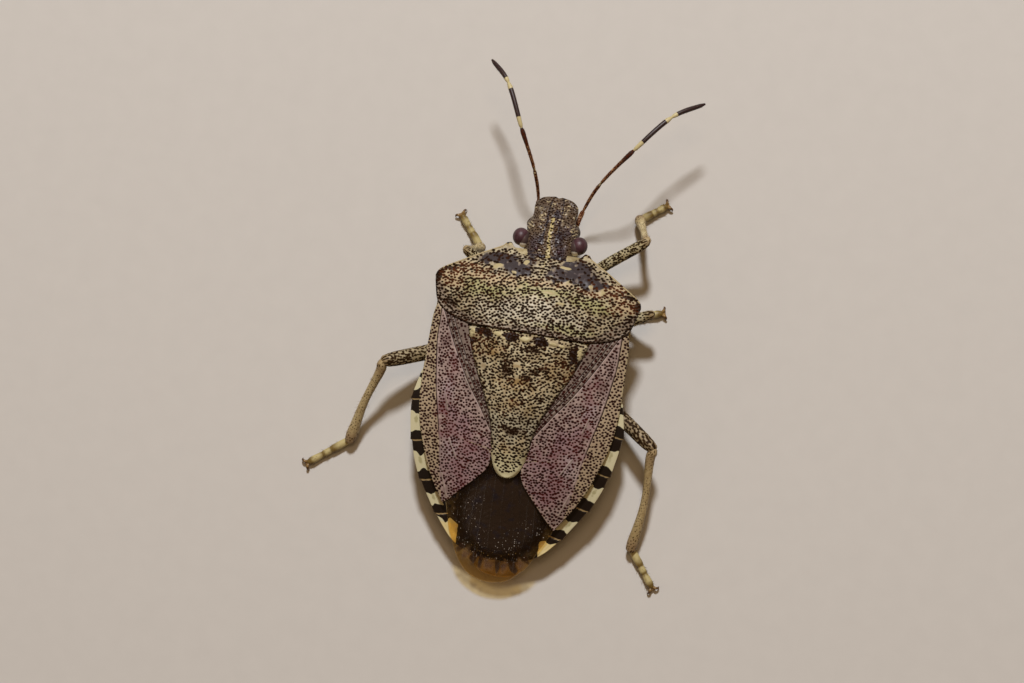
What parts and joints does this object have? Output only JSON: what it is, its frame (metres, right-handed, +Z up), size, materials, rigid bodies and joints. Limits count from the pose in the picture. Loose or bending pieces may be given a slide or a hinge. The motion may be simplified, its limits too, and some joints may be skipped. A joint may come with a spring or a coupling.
{
  "type": "shield bug",
  "caption": "Shield bug at life size as a still display model: broad shield body on bent legs, feelers raised forward, standing on its feet.",
  "frame": {"origin": "on the floor under the middle of the whole animal's bounding box, feelers and feet included", "axes": "+Y towards the head, +Z up from the floor, +X towards the animal's right side"},
  "size_m": [0.0152, 0.0208, 0.005],
  "materials": {
    "pronotum_shell": "ochre shell, densely dotted with dark brown pits, satin",
    "scutellum_shell": "cream and ochre shell with dark brown pits and wrinkles, ivory spots along its base, satin",
    "wing_leather": "grey-mauve leathery fore wing with dark red-brown pits, satin",
    "wing_membrane": "very dark brown film, amber and see-through at its rear, glossy",
    "body_shell": "pale ochre shell with brown pits, satin",
    "abdomen_shell": "ivory rim with black bands, pale ochre belly, satin",
    "head_shell": "dark brown shell with pale specks and a pale middle line, satin",
    "eye_facets": "dark purple-brown, glossy, finely faceted",
    "beak_shell": "tan with a dark tip, satin",
    "feeler_shell": "dark brown with cream bands, satin",
    "leg_shell": "olive-cream to tan with dark brown specks, satin"
  },
  "bodies": {
    "root": {"pronotum": "pronotum_shell", "scutellum": "scutellum_shell", "corium_left": "wing_leather", "corium_right": "wing_leather", "membrane_left": "wing_membrane", "membrane_right": "wing_membrane", "thorax": "body_shell", "abdomen": "abdomen_shell", "head": "head_shell", "eye_left": "eye_facets", "eye_right": "eye_facets", "beak": "beak_shell", "antenna_left": "feeler_shell", "antenna_right": "feeler_shell", "leg_front_left": "leg_shell", "leg_front_right": "leg_shell", "leg_middle_left": "leg_shell", "leg_middle_right": "leg_shell", "leg_hind_left": "leg_shell", "leg_hind_right": "leg_shell"}
  },
  "joints": []
}
